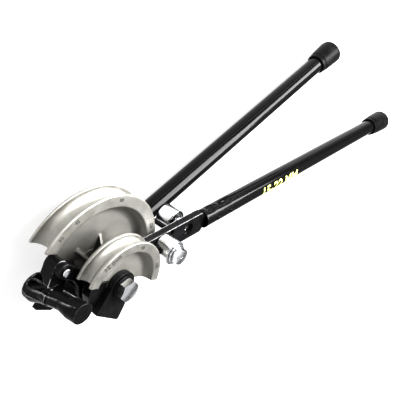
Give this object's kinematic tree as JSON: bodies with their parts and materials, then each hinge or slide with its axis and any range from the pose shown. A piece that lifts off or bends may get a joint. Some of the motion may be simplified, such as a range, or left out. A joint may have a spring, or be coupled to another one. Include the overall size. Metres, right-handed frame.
{
  "type": "manual tube bender",
  "caption": "Hand tube bender with long folding handles, a large and a small grooved half-round former on one pivot, rollers on the lever and a swinging tube hook.",
  "frame": {"origin": "centre of the pivot bolt's end face, on the bench the tool lies on", "axes": "+Z along the pivot axis from the nut to the bolt head, +X along the formers' flat sides towards the handles, +Y over the formers' arcs"},
  "size_m": [0.7473, 0.4219, 0.11],
  "materials": {
    "cast_aluminium": "sand cast, machined rims",
    "black_gloss_paint": "gloss",
    "black_forging": "gloss over a forged surface",
    "black_casting": "satin over a cast surface",
    "black_grip": "satin",
    "zinc_steel": "bright zinc",
    "bronze_bush": "satin",
    "nylon_washer": "matt"
  },
  "bodies": {
    "frame": {"fixed_handle_cap": "black_grip", "fixed_handle_rivet_1": "zinc_steel", "fixed_handle_rivet_2": "zinc_steel", "fixed_handle_tube": "black_gloss_paint", "former_15": "cast_aluminium", "former_15_dowel_1": "zinc_steel", "former_15_dowel_2": "zinc_steel", "former_22": "cast_aluminium", "former_22_dowel_1": "zinc_steel", "former_22_dowel_2": "zinc_steel", "frame_front_leg": "black_casting", "frame_rear_leg": "black_casting", "front_leg_dowel_1": "zinc_steel", "front_leg_dowel_2": "zinc_steel", "hook_pin": "zinc_steel", "hook_stop_screw": "black_casting", "pivot_bolt": "zinc_steel", "pivot_front_washer": "black_casting", "pivot_nut": "zinc_steel", "pivot_rear_washer": "zinc_steel", "thrust_washer_lower": "nylon_washer", "thrust_washer_upper": "nylon_washer"},
    "lever": {"lever_blade": "black_forging", "lever_guide_pin": "black_forging", "lever_handle_cap": "black_grip", "lever_handle_rivet_1": "zinc_steel", "lever_handle_rivet_2": "zinc_steel", "lever_handle_tube": "black_gloss_paint", "pivot_bush": "bronze_bush", "roller_15_bolt": "zinc_steel", "roller_15_washer": "zinc_steel", "roller_22_axle": "zinc_steel", "roller_22_screw": "zinc_steel", "roller_22_washer": "zinc_steel"},
    "roller_15_wheel": {"roller_15": "zinc_steel", "roller_15_bush": "bronze_bush"},
    "roller_22_wheel": {"roller_22": "zinc_steel", "roller_22_bush": "bronze_bush"},
    "hook": {"tube_hook": "black_casting"}
  },
  "joints": [
    {"name": "lever_hinge", "type": "hinge", "parent": "frame", "child": "lever", "pos_m": [0, 0, 0.067], "axis": [0, 0, 1], "range_deg": [-35, 120]},
    {"name": "roller_15_spin", "type": "hinge", "parent": "lever", "child": "roller_15_wheel", "pos_m": [0.08303, 0.03473, 0.084], "axis": [0, 0, 1], "continuous": true},
    {"name": "roller_22_spin", "type": "hinge", "parent": "lever", "child": "roller_22_wheel", "pos_m": [0.12869, 0.05383, 0.04], "axis": [0, 0, 1], "continuous": true},
    {"name": "hook_swing", "type": "hinge", "parent": "frame", "child": "hook", "pos_m": [-0.066, 0.008, 0.065], "axis": [0, 0, 1], "range_deg": [-95, 5]}
  ]
}
